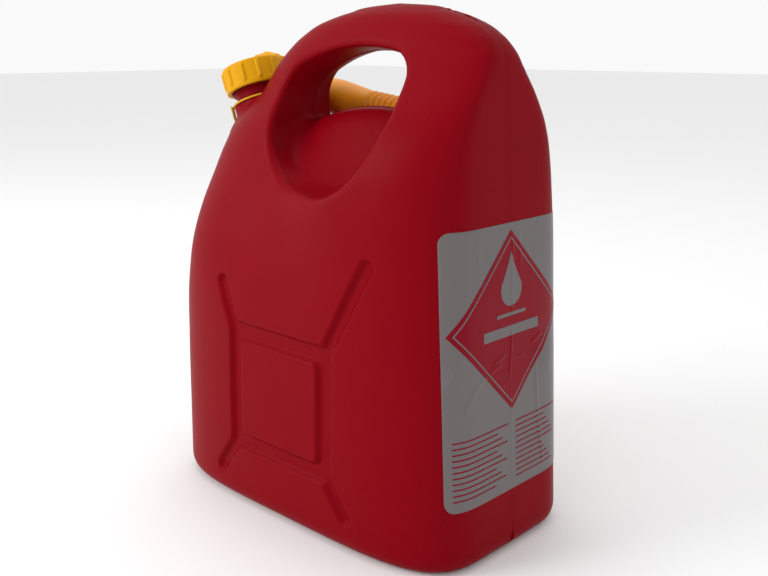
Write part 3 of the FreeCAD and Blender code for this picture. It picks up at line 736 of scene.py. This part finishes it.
# ------------------------------------------------------------------------------ pourer
def spout_base():
    floor = 22.0 - 2.8 - 0.3
    low = floor - 3.0
    outer, bore, small = 16.2, 14.4, 12.4
    profile = rounded([(bore, low + 1, 0), (bore, low, 0.3), (23.4, low, 0.5), (23.4, floor, 0.5),
                       (outer, floor, 0.6), (outer, 112, 30), (small, 150, 20), (small, 151, 0)])
    profile += [(small - 1.8, 151.0), (bore, 112.0), (bore, low + 1)]
    points, faces = turned(profile, SPOUT, 96)
    return mesh_object("spout_base", points, faces, "pourer", ORANGE,
                       ["pourer_base"])


def spout_bellows():
    start, end, turns, crest, root, wall = 149.5, 222.5, 11, 13.0, 10.4, 1.2
    zs = np.linspace(start, end, turns * 14 + 1)
    wave = 0.5 - 0.5 * np.cos(2 * math.pi * turns * (zs - start) / (end - start))
    rs = root + (crest - root) * wave ** 0.75
    profile = list(zip(rs.tolist(), zs.tolist()))
    profile += [(r - wall, z) for r, z in reversed(profile)]
    profile.append(profile[0])
    points, faces = turned(profile, SPOUT, 72)
    ends = placed([(0, 0, start + 0.5), (0, 0, end - 0.5)], SPOUT) * MM
    return mesh_object("spout_bellows", points, faces, ("pourer", "nozzle", *ends),
                       ORANGE, ["pourer_bellows"])


def spout_nozzle():
    start, end = 222.0, 266.0
    profile = rounded([(9.7, start + 1, 0), (9.7, start, 0.2), (12.8, start, 0.6),
                       (12.8, start + 5, 0.8), (11.2, start + 7, 2.0), (9.6, end, 0.5),
                       (8.1, end, 0.5), (8.3, end - 2, 0)])
    profile.append(profile[0])
    points, faces = turned(profile, SPOUT, 72)
    return mesh_object("spout_nozzle", points, faces, "nozzle", ORANGE,
                       ["pourer_nozzle"])


def nozzle_plug():
    start, end, r = 254.0, 279.0, 12.2
    profile = rounded([(0, end - 2.2, 0), (r - 1.8, end - 2.2, 0.4), (r - 1.8, start, 0.3),
                       (r + 1.2, start, 0.8), (r + 1.2, start + 3, 0.8), (r, start + 3.6, 0.8),
                       (r, end, 1.8), (0, end, 0)])
    ribs = grip_radius(r, 0.5, start + 5, end - 2, 1.6, 18)
    points, faces = turned(profile, SPOUT, 144, ribs)
    return mesh_object("nozzle_plug", points, faces, "nozzle_cap", OCHRE,
                       ["nozzle_cap"])


# ------------------------------------------------------------------------------- label
def back_curve(z):
    """Points of the label end's outline at height z, with length measured from the middle."""
    back, front = hermite(SECTIONS, 2, z), hermite(SECTIONS, 1, z)
    width, n = hermite(SECTIONS, 4, z), hermite(SECTIONS, 6, z)
    flat = max(hermite(PANEL, 1, z), 0.0)
    longer = (back - front) / 2 / (1 - flat ** n) ** (1 / n)
    y = np.linspace(0, 0.985 * width, 400)
    x = np.minimum(back, (back + front) / 2 + longer * (1 - (y / width) ** n) ** (1 / n))
    length = np.concatenate([[0], np.cumsum(np.hypot(np.diff(x), np.diff(y)))])
    return x, y, length


def on_back(across, height, lift):
    """Points on the label end: across and height in mm on the flat sheet."""
    across, height = np.asarray(across, float), np.asarray(height, float)
    lift = np.broadcast_to(np.asarray(lift, float), across.shape)
    points = np.empty((len(across), 3))
    for z in np.unique(height):
        row = height == z
        x, y, length = back_curve(np.array(z))
        side = np.abs(across[row])
        points[row] = np.stack([np.interp(side, length, x),
                                np.interp(side, length, y) * np.sign(across[row]),
                                np.full(row.sum(), z)], 1)
    value, slope = value_and_slope(outer_field, points)
    normal = slope / np.linalg.norm(slope, axis=1)[:, None]
    points -= value[:, None] * normal
    return points + (LABEL_GAP + lift)[:, None] * normal, normal


def label_lift(across, height):
    """Wrinkles where the sheet was laid over the can's curve."""
    lift = np.zeros(len(across))
    for a0, h0, a1, h1, high, wide in WRINKLES:
        length = math.hypot(a1 - a0, h1 - h0)
        t = ((across - a0) * (a1 - a0) + (height - h0) * (h1 - h0)) / length ** 2
        off = ((across - a0) * (h1 - h0) - (height - h0) * (a1 - a0)) / length
        lift += high * np.exp(-(off / wide) ** 2) * ease(0, 0.2, t) * (1 - ease(0.8, 1, t))
    for a0, h0, high, wide in BUBBLES:
        lift += high * np.exp(-((across - a0) ** 2 + (height - h0) ** 2) / wide ** 2)
    return lift


# Folds in the film: from, to (across, height), how high and how wide they stand.
WRINKLES = [
    (2, 262, 1, 186, 0.45, 1.0), (1, 186, -3, 142, 0.8, 1.1), (-2, 142, 1, 56, 0.35, 1.1),
    (-25, 159, -7, 164, 0.8, 1.3), (-2, 160, 18, 158, 0.7, 1.2), (-29, 153, -12, 158, 0.7, 1.3),
    (-30, 153, -45, 144, 0.8, 1.6), (-43, 146, -57, 128, 0.9, 1.6), (-57, 171, -71, 150, 0.7, 2.0),
    (31, 150, 35, 100, 0.8, 1.3), (34, 104, 43, 58, 0.9, 1.4), (6, 112, 6, 62, 0.35, 1.0),
    (24, 165, 40, 172, 0.6, 1.3), (-40, 256, -36, 215, 0.3, 2.4), (10, 262, 12, 225, 0.3, 1.8),
]
BUBBLES = [(46, 150, 2.4, 13.0), (-63, 158, 0.8, 9.0), (33, 178, 0.5, 8.0)]
# The print: middle and half diagonal of the diamond, and how far each layer stands off the can.
DIAMOND_MIDDLE, DIAMOND_REACH = 188.3, 70.0
SHEET_LIFT, RULE_LIFT, RED_LIFT, PALE_LIFT = 0.12, 0.28, 0.3, 0.42


def sheet_patch(name, rows, columns, lift, material, nodes=(), thick=0.25):
    """A thin printed patch: rows of (height, left, right) on the label, given thickness."""
    rows = np.array(rows, float)
    count = len(rows)
    t = np.linspace(0, 1, columns + 1)
    across = rows[:, 1:2] + (rows[:, 2:3] - rows[:, 1:2]) * t
    height = np.repeat(rows[:, 0:1], columns + 1, axis=1)
    across, height = across.ravel(), height.ravel()
    top, normal = on_back(across, height, lift + label_lift(across, height))
    bottom = top - normal * thick
    n = count * (columns + 1)
    faces = []
    grid = np.arange(n).reshape(count, columns + 1)
    for i in range(count - 1):
        for j in range(columns):
            a, b, c, d = grid[i, j], grid[i, j + 1], grid[i + 1, j + 1], grid[i + 1, j]
            faces.append((a, b, c, d))
            faces.append((d + n, c + n, b + n, a + n))
    border = list(grid[0]) + list(grid[1:, -1]) + list(grid[-1, -2::-1]) + list(grid[-2:0:-1, 0])
    for i, a in enumerate(border):
        b = border[(i + 1) % len(border)]
        faces.append((a + n, b + n, b, a))
    return mesh_object(name, np.concatenate([top, bottom]), faces, "can", material, nodes)


def bar(name, left, right, low, high, lift, material):
    """A plain printed bar on the label."""
    heights = np.linspace(low, high, max(2, int(high - low) + 1))
    return sheet_patch(name, [(h, left, right) for h in heights], int(right - left), lift,
                       material, thick=0.1)


def label():
    """The film sheet, its diamond with a droplet, two bars, and rows of plain rules."""
    corner, low, high, half = 9.0, LABEL_LOW, LABEL_HIGH, LABEL_HALF
    heights = np.unique(np.concatenate([
        low + corner * (1 - np.cos(np.linspace(0, math.pi / 2, 9))),
        np.linspace(low + corner, high - corner, 180),
        high - corner * (1 - np.cos(np.linspace(0, math.pi / 2, 9)))]))
    rows = []
    for h in heights:
        into = max(0.0, low + corner - h, h - high + corner)
        edge = half - corner + math.sqrt(max(0.0, corner ** 2 - into ** 2))
        rows.append((h, -max(edge, half - corner), max(edge, half - corner)))
    sheet_patch("label_sheet", rows, 148, SHEET_LIFT, PAPER, ["hazard_label"],
                thick=0.3)

    centre, reach = DIAMOND_MIDDLE, DIAMOND_REACH
    hs = np.linspace(centre - reach, centre + reach, 141)
    rows = [(h, -(reach - abs(h - centre)) - 0.02, reach - abs(h - centre) + 0.02) for h in hs]
    sheet_patch("label_diamond", rows, 110, RED_LIFT, PRINT, thick=0.1)
    for i, (s1, s2) in enumerate(((1, 1), (1, -1), (-1, 1), (-1, -1))):
        hs = np.linspace(0, reach - 5, 66)
        rows = []
        for h in hs:
            outer = reach - 5 - h
            inner = max(outer - 1.6, 0)
            left, right = (inner, outer) if s1 > 0 else (-outer, -inner)
            rows.append((centre + s2 * h, left, right))
        rows.sort(key=lambda r: r[0])
        sheet_patch(f"label_line_{i}", rows, 2, PALE_LIFT, PAPER, thick=0.1)
    drop_low, drop_radius, drop_high = centre + 12, 13.0, 42.0
    rows = []
    for h in np.linspace(0, drop_high, 36):
        if h < drop_radius * 1.3:
            half = math.sqrt(max(0.0, drop_radius ** 2 - (h - drop_radius) ** 2))
        else:
            half = 12.4 * (1 - (h - drop_radius * 1.3) / (drop_high - drop_radius * 1.3)) ** 1.25
        rows.append((drop_low + h, -half - 0.02, half + 0.02))
    sheet_patch("label_drop", rows, 22, PALE_LIFT, PAPER, thick=0.1)
    bar("label_bar_wide", -18, 18, centre + 4.5, centre + 7.2, PALE_LIFT, PAPER)
    bar("label_bar_low", -34, 34, centre - 11, centre - 3, PALE_LIFT, PAPER)
    for i in range(11):
        top = 108 - i * 4.6
        bar(f"label_rule_{i}", -67, -5 - (i * 13) % 19, top - 1.1, top, RULE_LIFT, PRINT)
        bar(f"label_rule_r{i}", 5, 62 - (i * 19) % 23, top - 1.1, top, RULE_LIFT, PRINT)


# -------------------------------------------------------------------------- pull tab
def tab_mesh():
    """The pull tab: a plate with a round end, hanging from the ring at its front left."""
    width, length, thick, inner, high = 9.0, 14.0, 1.6, 27.2, -9.4
    turn = math.radians(40)
    outline = []
    for i in range(13):
        a = math.pi * i / 12
        outline.append((width / 2 * math.cos(a), -(length - width / 2) - width / 2 * math.sin(a)))
    outline = [(width / 2, 0.0)] + outline + [(-width / 2, 0.0)]
    points = []
    for depth in (inner, inner + thick):
        for across, down in outline:
            x, y = -depth, -across
            points.append((x * math.cos(turn) - y * math.sin(turn),
                           x * math.sin(turn) + y * math.cos(turn), high + down))
    n = len(outline)
    faces = [tuple(range(n)), tuple(range(2 * n - 1, n - 1, -1))]
    faces += [(i, i + n, (i + 1) % n + n, (i + 1) % n) for i in range(n)]
    piece = mesh_object("ring_tab", placed(points, NECK), faces, "ring", YELLOW,
                        ["pull_tab"], smooth=False)
    bevel = piece.modifiers.new("edge", "BEVEL")
    bevel.width, bevel.segments = 0.4 * MM, 2
    return piece


can_shell()
side_wall("side_near", -1)
side_wall("side_far", 1)
can_cavity()
neck_tube()
seams()
cap_mesh()
ring_mesh()
tab_mesh()
collar_mesh()
spout_base()
spout_bellows()
spout_nozzle()
nozzle_plug()
label()
for node, material in (("cap_seal", BLACK), ("pourer_seal", BLACK), ("air_tube", CLEAR)):
    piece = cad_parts[node]
    piece.data.materials.clear()
    piece.data.materials.append(material)


# ------------------------------------------------------------------ floor, light, camera
def floor_and_light():
    size = 12.0
    mesh = bpy.data.meshes.new("floor")
    mesh.from_pydata([(-size, -size, 0), (size, -size, 0), (size, size, 0), (-size, size, 0)], [],
                     [(0, 1, 2, 3)])
    pale = bpy.data.materials.new("floor_pale")
    pale.use_nodes = True
    pale.node_tree.nodes["Principled BSDF"].inputs["Base Color"].default_value = (0.86, 0.86, 0.86, 1)
    pale.node_tree.nodes["Principled BSDF"].inputs["Roughness"].default_value = 0.9
    mesh.materials.append(pale)
    floor = bpy.data.objects.new("floor", mesh)
    bpy.context.scene.collection.objects.link(floor)

    world = bpy.data.worlds.new("studio")
    bpy.context.scene.world = world
    world.use_nodes = True
    back = world.node_tree.nodes["Background"]
    back.inputs["Color"].default_value = (1, 1, 1, 1)
    back.inputs["Strength"].default_value = 0.95
    bpy.context.scene.view_settings.view_transform = "Standard"

    target = Vector((0, 0, 0.2))
    for name, place, size, power in (
            ("key", (-1.2, -1.9, 1.2), 1.2, 31.0),
            ("top", (-0.4, 0.3, 2.2), 1.2, 7.0)):
        lamp = bpy.data.lights.new(name, "AREA")
        lamp.energy = power
        lamp.size = size
        holder = bpy.data.objects.new(name, lamp)
        holder.location = place
        holder.rotation_euler = (target - Vector(place)).to_track_quat("-Z", "Y").to_euler()
        bpy.context.scene.collection.objects.link(holder)


def camera():
    """The viewpoint: 43 degrees round from the label end, 14 degrees down."""
    azimuth, pitch = math.radians(43.45), math.radians(14.28)
    spot = Vector((0.57238, -0.57565, 0.39261))
    right = Vector((math.cos(azimuth), math.sin(azimuth), 0))
    ahead = Vector((-math.sin(azimuth) * math.cos(pitch), math.cos(azimuth) * math.cos(pitch),
                    -math.sin(pitch)))
    up = right.cross(ahead)
    data = bpy.data.cameras.new("camera")
    data.sensor_width = 36.0
    data.lens = 45.12
    data.clip_start = 0.01
    view = bpy.data.objects.new("camera", data)
    view.matrix_world = Matrix.Translation(spot) @ Matrix((right, up, -ahead)).transposed().to_4x4()
    bpy.context.scene.collection.objects.link(view)
    bpy.context.scene.camera = view


floor_and_light()
camera()


def plain(box):
    return [[float(v) for v in corner] for corner in box]
